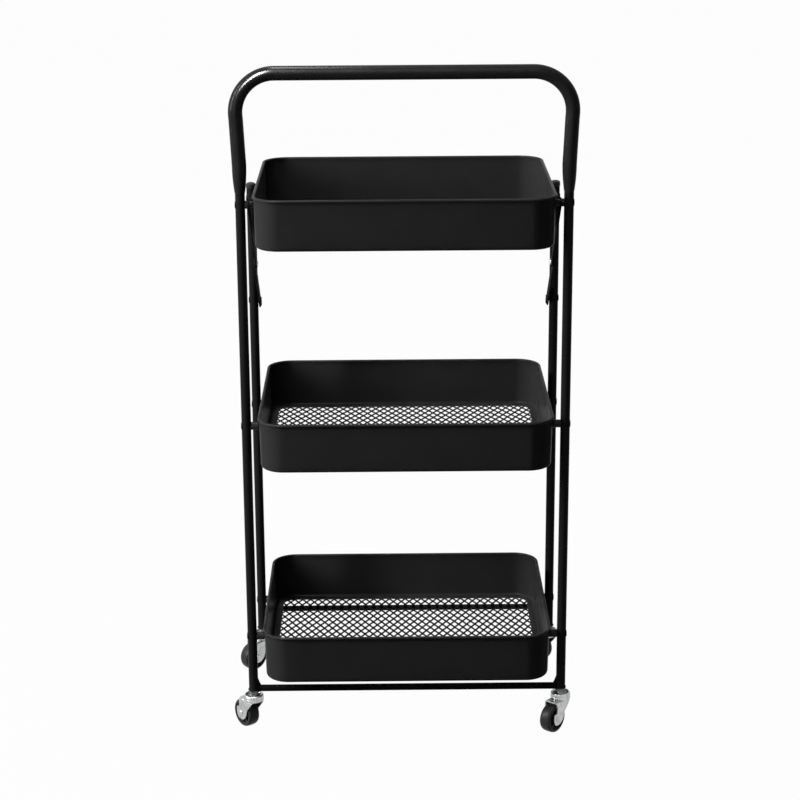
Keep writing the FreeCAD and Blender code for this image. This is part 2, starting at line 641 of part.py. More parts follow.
upper_length = "%s * stay_knee_share" % stay_length
lower_length = "%s * (1 - stay_knee_share)" % stay_length
for side in sides:
    mirror = -1 if side == "left" else 1
    outer_layer = stay_layer(1)
    inner_layer = stay_layer(2)
    upper_layer = inner_layer if mirror > 0 else "-(%s + stay_thickness)" % inner_layer
    lower_layer = outer_layer if mirror > 0 else "-(%s + stay_thickness)" % outer_layer
    upper = stay_link("stay_upper_" + side, upper_layer, "0", upper_length, "upper_stay_width",
                      [("0", "pin_diameter + 2 * running_gap"), (upper_length, "stay_pin_diameter")])
    place(upper, "0", "0", "top_floor + %s" % front_pin_rise, Vector(1, 0, 0), "-(%s)" % stay_slope)
    parts.append(upper)
    lower = stay_link("stay_lower_" + side, lower_layer, "-lower_stay_tail", lower_length,
                      "lower_stay_width", [("0", "stay_pin_diameter + 2 * running_gap")])
    back_layer = "%s + stay_thickness" % outer_layer
    if mirror < 0:
        back_layer = "-(%s) - knee_back_thickness" % back_layer
    knee_back = add_sketch(lower, "knee_back", "YZ_Plane", back_layer)
    draw_circle(knee_back, lower_length, "0", "stay_head_diameter")
    pad(lower, knee_back, "knee_back_thickness")
    place(lower, "0", "frame_gap", "stay_foot_height", Vector(1, 0, 0), "180 deg - %s" % stay_slope)
    parts.append(lower)
    knee = add_body("knee_rivet_" + side)
    pin_profile(knee, [("%s - stay_head_thickness" % inner_layer, "%s - 0.6 * stay_head_thickness" % inner_layer,
                        "0.7 * stay_head_diameter"),
                       ("%s - 0.6 * stay_head_thickness" % inner_layer, inner_layer, "stay_head_diameter"),
                       (inner_layer, "%s + stay_thickness" % inner_layer, "stay_pin_diameter")])
    knee_deep = "frame_gap * stay_knee_share"
    knee_up = "top_floor + %s - %s * stay_knee_share" % (front_pin_rise, stay_drop)
    place(knee, "0", knee_deep, knee_up, Vector(0, 0, 1), "180" if side == "left" else "0")
    parts.append(knee)
    rivet = add_body("stay_rivet_" + side)
    pin_profile(rivet, [
        ("%s - stay_gap - stay_head_thickness" % outer_layer, "%s - stay_gap" % outer_layer, "stay_head_diameter"),
        ("%s - stay_gap" % outer_layer, "%s + stay_thickness + stay_gap" % outer_layer, "stay_pin_diameter"),
        ("%s + stay_thickness + stay_gap" % outer_layer, leg_inner_face, "stay_head_diameter"),
        (leg_inner_face, leg_outer_face, "stay_pin_diameter"),
        (leg_outer_face, "%s + 0.5 * stay_head_thickness" % leg_outer_face, "stay_head_diameter"),
    ])
    place(rivet, "0", "frame_gap", "stay_foot_height", Vector(0, 0, 1), "180" if side == "left" else "0")
    parts.append(rivet)


# Swivel casters, each a stem plugged in a leg, a pressed fork, a riveted axle and a moulded wheel
def turned(label, profile, axis, plane):
    body = add_body(label)
    sketch = add_sketch(body, "profile", plane)
    draw_outline(sketch, profile)
    revolve(body, sketch, axis)
    return body


def caster(corner, across, deep, swivel):
    fork_underside = "fork_crown - 1.1 * fork_thickness"
    stem = turned("caster_stem_" + corner, [
        ("0", "leg_foot + stem_length"), ("(%s) / 2" % leg_bore, "leg_foot + stem_length"),
        ("(%s) / 2" % leg_bore, "leg_foot"), ("neck_diameter / 2", "leg_foot"),
        ("neck_diameter / 2", "neck_base"), ("swivel_pin_diameter / 2", "neck_base"),
        ("swivel_pin_diameter / 2", "%s - side_gap" % fork_underside),
        ("0.75 * swivel_pin_diameter", "%s - side_gap" % fork_underside),
        ("0.75 * swivel_pin_diameter", "%s - side_gap - fork_thickness" % fork_underside),
        ("0", "%s - side_gap - fork_thickness" % fork_underside)], "V_Axis", "XZ_Plane")
    place(stem, across, deep, "0")
    parts.append(stem)
    fork = add_body("caster_fork_" + corner)
    cheek = add_sketch(fork, "cheek", "XZ_Plane")
    hub = "wheel_diameter / 2"
    draw_outline(cheek, [
        ("-0.28 * cup_diameter", "fork_crown"), ("0.77 * cup_diameter", "fork_crown"),
        ("0.77 * cup_diameter", "%s + 0.27 * wheel_diameter" % hub),
        ("wheel_trail + 0.23 * wheel_diameter", "%s + 0.17 * wheel_diameter" % hub),
        ("wheel_trail + 0.23 * wheel_diameter", "%s - 0.06 * wheel_diameter" % hub),
        ("wheel_trail + 0.13 * wheel_diameter", "%s - 0.22 * wheel_diameter" % hub),
        ("wheel_trail - 0.1 * wheel_diameter", "%s - 0.22 * wheel_diameter" % hub),
        ("wheel_trail - 0.28 * wheel_diameter", "%s - 0.06 * wheel_diameter" % hub),
        ("wheel_trail - 0.36 * wheel_diameter", "%s + 0.17 * wheel_diameter" % hub),
        ("-0.28 * cup_diameter", fork_underside)])
    pad(fork, cheek, "wheel_width + 2 * fork_gap + 2 * fork_thickness", centred=True)
    slot = add_sketch(fork, "slot", "XZ_Plane")
    draw_outline(slot, [("-cup_diameter", "0"), ("wheel_trail + wheel_diameter", "0"),
                        ("wheel_trail + wheel_diameter", fork_underside), ("-cup_diameter", fork_underside)])
    cut_centred(fork, slot, "wheel_width + 2 * fork_gap")
    cup = add_sketch(fork, "cup", "XZ_Plane")
    cup_rise = "(cup_top - fork_crown)"
    draw_outline(cup, [("0", fork_underside), ("cup_diameter / 2", fork_underside),
                       ("cup_diameter / 2", "fork_crown + 0.3 * %s" % cup_rise),
                       ("0.47 * cup_diameter", "fork_crown + 0.7 * %s" % cup_rise),
                       ("0.41 * cup_diameter", "cup_top"), ("0.35 * cup_diameter", "cup_top"),
                       ("0.3 * cup_diameter", "fork_crown + 0.55 * %s" % cup_rise),
                       ("0", "fork_crown + 0.55 * %s" % cup_rise)])
    revolve(fork, cup, "V_Axis")
    bore = add_sketch(fork, "bore", "XY_Plane")
    draw_circle(bore, "0", "0", "swivel_pin_diameter + 2 * running_gap")
    cut_through(fork, bore)
    axle_bore = add_sketch(fork, "axle_bore", "XZ_Plane")
    draw_circle(axle_bore, "wheel_trail", hub, "axle_diameter")
    cut_through(fork, axle_bore)
    place(fork, across, deep, "0", Vector(0, 0, 1), swivel)
    parts.append(fork)
    cheek_out = "(wheel_width / 2 + fork_gap + fork_thickness)"
    head = "%s + 0.8 * fork_thickness" % cheek_out
    axle_x = "%s + wheel_trail * cos(%s)" % (across, swivel)
    axle_y = "%s + wheel_trail * sin(%s)" % (deep, swivel)
    axle = turned("caster_axle_" + corner, [
        ("0", "-(%s)" % head), ("0.7 * axle_diameter", "-(%s)" % head), ("0.7 * axle_diameter", "-" + cheek_out),
        ("axle_diameter / 2", "-" + cheek_out), ("axle_diameter / 2", cheek_out),
        ("0.7 * axle_diameter", cheek_out), ("0.7 * axle_diameter", head), ("0", head)], "V_Axis", "XY_Plane")
    place(axle, axle_x, axle_y, hub, Vector(0, 0, 1), swivel)
    parts.append(axle)
    bore_half = "axle_diameter / 2 + running_gap"
    half = [("0.17 * wheel_diameter", "0.47 * wheel_width"), ("0.2 * wheel_diameter", "0.33 * wheel_width"),
            ("0.35 * wheel_diameter", "0.33 * wheel_width"), ("0.385 * wheel_diameter", "0.5 * wheel_width"),
            ("0.45 * wheel_diameter", "0.5 * wheel_width"), ("0.48 * wheel_diameter", "0.44 * wheel_width"),
            ("0.5 * wheel_diameter", "0.3 * wheel_width")]
    lower_half = [(bore_half, "-0.47 * wheel_width")] + [(out, "-" + along) for out, along in half]
    upper_half = list(reversed(half)) + [(bore_half, "0.47 * wheel_width")]
    wheel = turned("caster_wheel_" + corner, lower_half + upper_half, "V_Axis", "XY_Plane")
    place(wheel, axle_x, axle_y, hub, Vector(0, 0, 1), swivel)
    parts.append(wheel)


caster("front_left", left_leg, "0", "front_left_swivel")
caster("front_right", right_leg, "0", "front_right_swivel")
caster("rear_left", left_leg, "frame_gap", "rear_left_swivel")
caster("rear_right", right_leg, "frame_gap", "rear_right_swivel")

# Check every object, then write one file for each sub-part
sheet.clear("D1")
doc.recompute()
for item in doc.Objects:
    if "Invalid" in item.State or "Error" in item.State:
        raise RuntimeError("%s did not compute: %s" % (item.Name, item.State))
for item in parts:
    if item.Shape.isNull() or not item.Shape.isValid() or len(item.Shape.Solids) != 1:
        raise RuntimeError("%s has no single valid solid" % item.Label)
os.makedirs("parts", exist_ok=True)
for item in parts:
    item.Shape.exportStep("parts/%s.step" % item.Label)
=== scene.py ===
import math
import bmesh
import bpy
from mathutils import Matrix, Vector


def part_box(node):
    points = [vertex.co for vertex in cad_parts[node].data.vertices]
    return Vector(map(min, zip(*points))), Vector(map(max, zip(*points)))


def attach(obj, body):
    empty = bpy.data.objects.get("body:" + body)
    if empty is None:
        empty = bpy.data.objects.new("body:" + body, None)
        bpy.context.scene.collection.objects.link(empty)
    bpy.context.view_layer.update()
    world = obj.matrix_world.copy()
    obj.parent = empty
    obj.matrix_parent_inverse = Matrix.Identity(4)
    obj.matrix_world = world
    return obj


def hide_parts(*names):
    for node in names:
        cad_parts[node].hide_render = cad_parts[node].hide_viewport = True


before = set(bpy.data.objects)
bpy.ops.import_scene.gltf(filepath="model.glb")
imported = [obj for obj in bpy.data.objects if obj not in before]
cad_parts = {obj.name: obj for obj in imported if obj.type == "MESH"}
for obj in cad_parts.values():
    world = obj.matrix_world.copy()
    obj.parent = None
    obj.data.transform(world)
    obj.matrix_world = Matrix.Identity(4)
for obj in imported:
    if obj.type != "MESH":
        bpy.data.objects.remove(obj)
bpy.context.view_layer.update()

# Front legs: two straight steel tubes, cut square, drilled for the tray pins and coated black.
# The tube is thin drawn stock. Its mouth is chamfered where the handle plugs in at the top,
# and flared a little at the foot, where the caster stem is pressed in.
mm = 0.001
leg_radius = 6.6 * mm
leg_wall = 1.2 * mm
leg_bore = leg_radius - leg_wall
leg_steps = 24
mouth_chamfer = 0.35 * mm
foot_lift = 2.7 * mm
foot_flare = [(1.0, 0), (1.25, 0.3), (1.1, 1.2), (0.5, 2.4), (0, 3.6)]
same_spot = 1e-6
frame_black = (0.0095, 0.0095, 0.0098)


def new_finish(name):
    finish = bpy.data.materials.new(name)
    finish.use_nodes = True
    nodes = finish.node_tree.nodes
    nodes.clear()
    shader = nodes.new("ShaderNodeBsdfPrincipled")
    output = nodes.new("ShaderNodeOutputMaterial")
    finish.node_tree.links.new(shader.outputs["BSDF"], output.inputs["Surface"])
    return finish, shader


def grain(finish, scale, detail):
    nodes, links = finish.node_tree.nodes, finish.node_tree.links
    where = nodes.new("ShaderNodeTexCoord")
    noise = nodes.new("ShaderNodeTexNoise")
    noise.inputs["Scale"].default_value = scale
    noise.inputs["Detail"].default_value = detail
    links.new(where.outputs["Object"], noise.inputs["Vector"])
    return noise.outputs["Fac"]


def ramp(finish, factor, stops):
    nodes, links = finish.node_tree.nodes, finish.node_tree.links
    shades = nodes.new("ShaderNodeValToRGB")
    bar = shades.color_ramp.elements
    while len(bar) < len(stops):
        bar.new(0.5)
    for element, (place, colour) in zip(bar, stops):
        element.position = place
        element.color = (*colour, 1)
    links.new(factor, shades.inputs["Fac"])
    return shades.outputs["Color"]


def span(finish, factor, low, high, start=0.3, end=0.7):
    nodes, links = finish.node_tree.nodes, finish.node_tree.links
    between = nodes.new("ShaderNodeMapRange")
    between.inputs["From Min"].default_value = start
    between.inputs["From Max"].default_value = end
    between.inputs["To Min"].default_value = low
    between.inputs["To Max"].default_value = high
    links.new(factor, between.inputs["Value"])
    return between.outputs["Result"]


def dimple(finish, shader, height, strength, depth):
    nodes, links = finish.node_tree.nodes, finish.node_tree.links
    bump = nodes.new("ShaderNodeBump")
    bump.inputs["Strength"].default_value = strength
    bump.inputs["Distance"].default_value = depth
    links.new(height, bump.inputs["Height"])
    links.new(bump.outputs["Normal"], shader.inputs["Normal"])


def tinted(colour, share):
    return [share * channel for channel in colour]


def powder_coat(name, colour, smooth, dull, gloss, edge_sheen_lift=1.5, edge_sheen_start=0.56):
    finish, shader = new_finish(name)
    nodes, links = finish.node_tree.nodes, finish.node_tree.links
    cloud = [(0.32, tinted(colour, 0.95)), (0.68, tinted(colour, 1.05))]
    # Convex edges and rims, picked out by Pointiness, are painted lighter: a painted highlight.
    edges = nodes.new("ShaderNodeNewGeometry")
    edge_sheen_mix = nodes.new("ShaderNodeMix")
    edge_sheen_mix.data_type = "RGBA"
    edge_sheen_mask = span(finish, edges.outputs["Pointiness"], 0, 0.8, edge_sheen_start, edge_sheen_start + 0.06)
    links.new(edge_sheen_mask, edge_sheen_mix.inputs["Factor"])
    links.new(ramp(finish, grain(finish, 26, 3), cloud), edge_sheen_mix.inputs["A"])
    edge_sheen_mix.inputs["B"].default_value = (*tinted(colour, edge_sheen_lift), 1)
    links.new(edge_sheen_mix.outputs["Result"], shader.inputs["Base Color"])
    links.new(span(finish, grain(finish, 60, 2), smooth, dull), shader.inputs["Roughness"])
    shader.inputs["Specular IOR Level"].default_value = gloss
    dimple(finish, shader, grain(finish, 620, 1.5), 0.16, 0.0002)
    return finish


def turn(bm, profile, place, sides=40):
    rings = []
    for radius, along in profile:
        if radius < 1e-7:
            rings.append([bm.verts.new(place @ Vector((0, 0, along)))])
            continue
        ring = []
        for step in range(sides):
            angle = 2 * math.pi * step / sides
            spot = Vector((radius * math.cos(angle), radius * math.sin(angle), along))
            ring.append(bm.verts.new(place @ spot))
        rings.append(ring)
    for ring, following in zip(rings, rings[1:]):
        for step in range(sides):
            after = (step + 1) % sides
            corners = [ring[step % len(ring)], ring[after % len(ring)],
                       following[after % len(following)], following[step % len(following)]]
            unique = list(dict.fromkeys(corners))
            if len(unique) > 2:
                bm.faces.new(unique)


def add_piece(name, bm, finish, body, slot, *nodes, sharp=32):
    bmesh.ops.recalc_face_normals(bm, faces=bm.faces)
    mesh = bpy.data.meshes.new(name)
    bm.to_mesh(mesh)
    bm.free()
    mesh.shade_smooth()
    mesh.set_sharp_from_angle(angle=math.radians(sharp))
    mesh.materials.append(finish)
    piece = bpy.data.objects.new(name, mesh)
    bpy.context.scene.collection.objects.link(piece)
    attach(piece, body)
    if nodes:
        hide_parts(*nodes)


def middle_of(node):
    low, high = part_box(node)
    return (low + high) / 2


def tube_leg(node, body, finish):
    low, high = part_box(node)
    foot = Vector(((low.x + high.x) / 2, (low.y + high.y) / 2, low.z + foot_lift))
    length = high.z - foot.z
    profile = [(leg_bore, mouth_chamfer), (leg_bore + mouth_chamfer, 0)]
    profile += [(leg_radius + out * mm, height * mm) for out, height in foot_flare]
    profile += [(leg_radius, length * step / leg_steps) for step in range(1, leg_steps)]
    profile += [(leg_radius, length - mouth_chamfer), (leg_radius - mouth_chamfer, length),
                (leg_bore + mouth_chamfer, length), (leg_bore, length - mouth_chamfer),
                (leg_bore, mouth_chamfer)]
    bm = bmesh.new()
    turn(bm, profile, Matrix.Translation(foot))
    bmesh.ops.remove_doubles(bm, verts=bm.verts, dist=same_spot)
    add_piece("dressed_" + node, bm, finish, body, "frame_paint", node)


# The last number sets the painted highlight on the tubes' convex edges.
frame_coat = powder_coat("black_frame_coat", frame_black, 0.24, 0.3, 0.02, 1.6)
for side in ("left", "right"):
    tube_leg("front_leg_" + side, "front_frame", frame_coat)
half_track = (middle_of("front_leg_right").x - middle_of("front_leg_left").x) / 2
cart_x = (middle_of("front_leg_right").x + middle_of("front_leg_left").x) / 2
front_y = middle_of("front_leg_left").y
leg_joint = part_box("front_leg_left")[1].z

# Handle: one thicker tube bent to a wide bow and leaning out a little towards the bends.
# Each end is swaged down to the leg's size, with a rolled lip that sits on the leg's mouth
# and a short spigot inside it.
grip_black = (0.011, 0.011, 0.0113)
grip_radius = 9.65 * mm
swage_length = 37 * mm
bow_top = 938 * mm
bow_bend = 52 * mm
bow_flare = 3.1 * mm
bow_sides = 48
bend_steps = 26
side_steps = 7
swage_steps = 14
lip_steps = 8
lip_ease = 1.6
lip_proud = 0.45 * mm
lip_height = 3 * lip_proud
spigot_drop = Vector((0, 0, 10 * mm))
plug_rise = Vector((0, 0, 9 * mm))
swage_top = leg_joint + swage_length
lean = math.atan2(bow_flare, bow_top - bow_bend - swage_top)
side_run = bow_top - bow_bend * (1 - math.sin(lean)) - swage_top
bend_x = half_track + side_run * math.tan(lean) - bow_bend * math.cos(lean)
bend_z = bow_top - bow_bend


def join_rings(bm, ring, following):
    count = len(ring)
    for step in range(count):
        after = (step + 1) % count
        bm.faces.new((ring[step], ring[after], following[after], following[step]))


def sweep(bm, points, radii, sides):
    rings = []
    across = None
    for index, point in enumerate(points):
        ahead = points[min(index + 1, len(points) - 1)] - points[max(index - 1, 0)]
        ahead.normalize()
        if across is None:
            across = ahead.orthogonal().normalized()
        across = (across - ahead * across.dot(ahead)).normalized()
        over = ahead.cross(across)
        ring = []
        for step in range(sides):
            angle = 2 * math.pi * step / sides
            outward = across * math.cos(angle) + over * math.sin(angle)
            ring.append(bm.verts.new(point + outward * radii[index]))
        rings.append(ring)
    for ring, following in zip(rings, rings[1:]):
        join_rings(bm, ring, following)
    return rings


right_side = []
for step in range(lip_steps + 1):
    share = (step / lip_steps) ** lip_ease
    swell = lip_proud * math.sin(share * math.pi / 2)
    right_side.append((half_track, leg_joint + lip_height * share, leg_radius + swell))
for step in range(1, swage_steps + 1):
    share = step / swage_steps
    height = leg_joint + lip_height + (swage_length - lip_height) * share
    swell = lip_proud + (grip_radius - leg_radius - lip_proud) * (1 - (1 - share) ** 2)
    right_side.append((half_track, height, leg_radius + swell))
for step in range(1, side_steps):
    rise = (bend_z - swage_top) * step / side_steps
    right_side.append((half_track + rise * math.tan(lean), swage_top + rise, grip_radius))
for step in range(bend_steps + 1):
    angle = -lean + (math.pi / 2 + lean) * step / bend_steps
    right_side.append((bend_x + bow_bend * math.cos(angle), bend_z + bow_bend * math.sin(angle), grip_radius))
left_side = [(-across, height, radius) for across, height, radius in reversed(right_side)]
bar_steps = [(bend_x * (1 - step / 10), bow_top, grip_radius) for step in range(1, 20)]
bow = right_side + bar_steps + left_side
bm = bmesh.new()
bow_line = [Vector((cart_x + across, front_y, height)) for across, height, _ in bow]
rings = sweep(bm, bow_line, [radius for _, _, radius in bow], bow_sides)
for ring, across in ((rings[0], half_track), (rings[-1], -half_track)):
    centre = Vector((cart_x + across, front_y, leg_joint))
    outward = [(vert.co - centre).normalized() for vert in ring]
    inside = [bm.verts.new(centre + way * leg_bore) for way in outward]
    spigot = [bm.verts.new(vert.co - spigot_drop) for vert in inside]
    throat = [bm.verts.new(centre + way * (leg_bore - leg_wall) - spigot_drop) for way in outward]
    plug = [bm.verts.new(vert.co + plug_rise) for vert in throat]
    for first, second in ((ring, inside), (inside, spigot), (spigot, throat), (throat, plug)):
        join_rings(bm, first, second)
    bm.faces.new(plug)
grip_coat = powder_coat("black_grip_coat", grip_black, 0.19, 0.23, 0.035)
add_piece("dressed_handle", bm, grip_coat, "front_frame", "frame_paint", "handle")

# Front crossbar: a thin tube let in between the leg feet and welded there.
# A small sheet gusset stands on it at each leg, and a fillet of weld runs round each end.
# The crossbars' coat is darker than the frame's: painted shade for the low light under the trays.
bar_shade_black = (0.0065, 0.0065, 0.0067)
bar_radius = 4.8 * mm
bar_sides = 32
bar_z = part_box("front_crossbar")[0].z + bar_radius
bar_let_in = 0.4 * mm
weld_thick = 0.9 * mm
weld_off_leg = 0.3 * mm
bead_sides = 8
gusset_rise = 11 * mm
gusset_run = 4.2 * mm
gusset_hollow = 1.25
gusset_steps = 8
gusset_bite = 0.2 * mm
gusset_sunk = 0.3 * mm
gusset_half = Vector((0, 2 * mm, 0))


def weld_ring(bm, centre, along, radius):
    across = along.orthogonal().normalized()
    over = along.cross(across)
    rows = []
    for step in range(bar_sides):
        angle = 2 * math.pi * step / bar_sides
        outward = across * math.cos(angle) + over * math.sin(angle)
        bead = weld_thick * (1 + 0.16 * math.sin(9 * angle) + 0.1 * math.sin(5 * angle + 1))
        row = []
        for corner in range(bead_sides):
            around = 2 * math.pi * corner / bead_sides
            row.append(bm.verts.new(centre + outward * (radius + bead * math.cos(around))
                                    + along * bead * math.sin(around)))
        rows.append(row)
    for row, following in zip(rows, rows[1:] + rows[:1]):
        join_rings(bm, row, following)


def gusset(bm, corner, inward):
    curve = [Vector((0, 0, 0))]
    for step in range(gusset_steps + 1):
        share = step / gusset_steps
        curve.append(Vector((inward * gusset_run * (1 - share) ** gusset_hollow, 0, gusset_rise * share)))
    front = [bm.verts.new(corner + point - gusset_half) for point in curve]
    back = [bm.verts.new(corner + point + gusset_half) for point in curve]
    bm.faces.new(front)
    bm.faces.new(back)
    join_rings(bm, front, back)


def closed_tube(bm, line, radius):
    rings = sweep(bm, line, [radius] * len(line), bar_sides)
    bm.faces.new(rings[0])
    bm.faces.new(rings[-1])


bm = bmesh.new()
reach = half_track - leg_radius + bar_let_in
closed_tube(bm, [Vector((cart_x + reach * step / 12, front_y, bar_z)) for step in range(-12, 13)], bar_radius)
for sign in (-1, 1):
    face_x = cart_x + sign * (half_track - leg_radius)
    weld_ring(bm, Vector((face_x - sign * weld_off_leg, front_y, bar_z)), Vector((1, 0, 0)), bar_radius)
    gusset(bm, Vector((face_x + sign * gusset_bite, front_y, bar_z + bar_radius - gusset_sunk)), -sign)
bar_shade_coat = powder_coat("black_crossbar_coat_painted_shade", bar_shade_black, 0.42, 0.52, 0.006, 1.4)
add_piece("dressed_front_crossbar", bm, bar_shade_coat, "front_frame", "frame_paint", "front_crossbar")

# Rear legs: the same tube as the front legs, shorter, with a moulded plastic cap on each open top.
# The cap is pushed over the tube and has a thin skirt with a parting line and a low crown.
cap_black = (0.02, 0.02, 0.021)
cap_bore = 6.65
cap_radius = 7.05
crown_foot = 0.2
crown_rise = 3.3
crown_steps = 12
cap_skirt = [(0, 0.1), (cap_bore, 0.1), (cap_bore, -5), (6.95, -5), (7.1, -4.7), (7.1, -1.4), (6.95, -1.2),
             (6.95, -0.9), (7.1, -0.7), (cap_radius, crown_foot)]


def moulded(name, colour, smooth, dull, grit, gloss):
    finish, shader = new_finish(name)
    links = finish.node_tree.links
    cloud = [(0.3, tinted(colour, 0.85)), (0.7, tinted(colour, 1.15))]
    links.new(ramp(finish, grain(finish, 40, 3), cloud), shader.inputs["Base Color"])
    links.new(span(finish, grain(finish, 90, 2), smooth, dull), shader.inputs["Roughness"])
    shader.inputs["Specular IOR Level"].default_value = gloss
    dimple(finish, shader, grain(finish, grit, 2), 0.2, 0.00015)
    return finish


def turn_mm(bm, profile, place, sides=40):
    turn(bm, [(radius * mm, along * mm) for radius, along in profile], place, sides)


for side in ("left", "right"):
    tube_leg("rear_leg_" + side, "rear_frame", frame_coat)
rear_y = middle_of("rear_leg_left").y
cap_plastic = moulded("black_cap_plastic", cap_black, 0.42, 0.55, 900, 0.08)
cap_profile = cap_skirt[:]
for step in range(1, crown_steps):
    angle = math.pi / 2 * step / crown_steps
    cap_profile.append((cap_radius * math.cos(angle), crown_foot + crown_rise * math.sin(angle)))
cap_profile.append((0, crown_foot + crown_rise))
for side in ("left", "right"):
    leg = "rear_leg_" + side
    bm = bmesh.new()
    turn_mm(bm, cap_profile, Matrix.Translation((middle_of(leg).x, rear_y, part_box(leg)[1].z)))
    add_piece("dressed_rear_cap_" + side, bm, cap_plastic, "rear_frame", "cap_plastic", "rear_cap_" + side)

# Rear crossbar: thin tube bent at both ends so that it passes behind the low tray,
# and welded to the backs of the rear legs with a fillet of weld.
low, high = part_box("rear_crossbar")
rear_bar_z = (low.z + high.z) / 2
rear_bar_radius = (high.z - low.z) / 2
set_back = high.y - rear_bar_radius - rear_y
corner_turn = 14 * mm
turn_steps = 12
rear_weld_sunk = 0.2 * mm
weld_y = leg_radius - bar_let_in
straight = half_track - corner_turn
bend_start = set_back - corner_turn
route = [(half_track, weld_y + (bend_start - weld_y) * step / 5) for step in range(5)]
for step in range(turn_steps + 1):
    angle = math.pi / 2 * step / turn_steps
    route.append((straight + corner_turn * math.cos(angle), bend_start + corner_turn * math.sin(angle)))
other_end = [(-across, deep) for across, deep in reversed(route)]
route += [(straight * (1 - step / 10), set_back) for step in range(1, 20)] + other_end
bm = bmesh.new()
closed_tube(bm, [Vector((cart_x + across, rear_y + deep, rear_bar_z)) for across, deep in route],
            rear_bar_radius)
for sign in (-1, 1):
    seat = Vector((cart_x + sign * half_track, rear_y + leg_radius - rear_weld_sunk, rear_bar_z))
    weld_ring(bm, seat, Vector((0, 1, 0)), rear_bar_radius)
# The rear crossbar takes the same darker coat, painted shade.
add_piece("dressed_rear_crossbar", bm, bar_shade_coat, "rear_frame", "frame_paint", "rear_crossbar")

# Trays: deep pans pressed from one sheet, with soft corners and a slight draft.
# The rim is rolled outwards over a wire, and the floor keeps a plain border round its net.
tray_black = (0.021, 0.021, 0.0215)
tray_half = 201.2
tray_front = -38.0
tray_back = 288.0
tray_corner = 34.0
tray_rise = 68.2
sheet = 1.0
foot_round = 5.0
inner_round = foot_round - sheet
round_steps = 8
round_ease = 0.1
roll_radius = 2.1
roll_tuck = 2.9
roll_tuck_out = 0.05
roll_start = 208
roll_sweep = 288
roll_steps = 16
draft = math.tan(math.radians(1.2))
slant = tray_rise * draft
border = slant + 12.5
opening_corner = 19.0
opening_nick = 0.25
opening_round = opening_corner - 0.2
levels = ("top", "middle", "low")
corner_steps = 14
wall_steps = 16


def pan_loop(out, radius):
    half, near, far = tray_half + out, tray_front - out, tray_back + out
    loop = []
    quarters = ((half - radius, near + radius, -90), (half - radius, far - radius, 0),
                (radius - half, far - radius, 90), (radius - half, near + radius, 180))
    for across, deep, start in quarters:
        for step in range(corner_steps + 1):
            angle = math.radians(start + 90 * step / corner_steps)
            loop.append((across + radius * math.cos(angle), deep + radius * math.sin(angle)))
    dense = []
    for index, point in enumerate(loop):
        dense.append(point)
        following = loop[(index + 1) % len(loop)]
        if index % (corner_steps + 1) == corner_steps:
            for step in range(1, wall_steps):
                share = step / wall_steps
                dense.append([here + (there - here) * share for here, there in zip(point, following)])
    return dense


def wall_rows(shares, skin):
    rows = []
    for share in shares:
        height = foot_round + (tray_rise - foot_round) * share
        out = -skin - (tray_rise - height) * draft
        rows.append((out, height, tray_corner + out))
    return rows


pan_section = [(-border, opening_nick, opening_corner), (-border, sheet - opening_nick, opening_corner),
               (-border + opening_nick, sheet, opening_round)]
for step in range(round_steps + 1):
    angle = math.pi / 2 * step / round_steps
    out = -slant - sheet - inner_round + inner_round * math.sin(angle) + round_ease * step / round_steps
    pan_section.append((out, sheet + inner_round * (1 - math.cos(angle)), tray_corner + out))
pan_section += wall_rows((0.2, 0.4, 0.6, 0.8, 0.92), sheet)
for step in range(roll_steps + 1):
    angle = math.radians(roll_start - roll_sweep * step / roll_steps)
    out = roll_radius * math.cos(angle)
    pan_section.append((out, tray_rise + roll_radius * math.sin(angle), tray_corner + out))
pan_section.append((roll_tuck_out - roll_tuck * draft, tray_rise - roll_tuck, tray_corner))
pan_section += wall_rows((0.88, 0.7, 0.5, 0.3, 0.12), 0)
for step in range(round_steps + 1):
    angle = math.pi / 2 * step / round_steps
    out = -slant - foot_round + foot_round * math.cos(angle) + round_ease * (1 - step / round_steps)
    pan_section.append((out, foot_round * (1 - math.sin(angle)), tray_corner + out))
pan_section.append((-border + opening_nick, 0, opening_round))

# The last two numbers set the painted highlight on the rolled rims and folds.
tray_coat = powder_coat("black_tray_coat", tray_black, 0.28, 0.34, 0.005, 1.6, 0.515)
for level in levels:
    floor_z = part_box("tray_" + level)[0].z
    bm = bmesh.new()
    loops = []
    for out, height, radius in pan_section:
        loops.append([bm.verts.new((cart_x + across * mm, front_y + deep * mm, floor_z + height * mm))
                      for across, deep in pan_loop(out, radius)])
    for loop, following in zip(loops, loops[1:] + loops[:1]):
        join_rings(bm, loop, following)
    node = "tray_" + level
    add_piece("dressed_" + node, bm, tray_coat, node, "tray_paint", node, sharp=40)

# Floor nets: the middle of each floor, slit in rows and stretched into fine lozenges.
# The strands are flat and narrow, thicker at the crossings, and end in the solid border.
# The net's coat is darker than the tray sheet it is cut from: painted shade.
net_shade_black = (0.009, 0.009, 0.0092)
lozenge_across = 12.2
lozenge_deep = 23.0
strand = 2.7
tip_share = 0.24
tip_blunt = 0.945
net_top = 0.95
net_base = 0.05
lozenge_tips = ((0, -1), (1, 0), (0, 1), (-1, 0))
hole_share = 1 - strand / (lozenge_across * lozenge_deep) * math.hypot(lozenge_across, lozenge_deep)


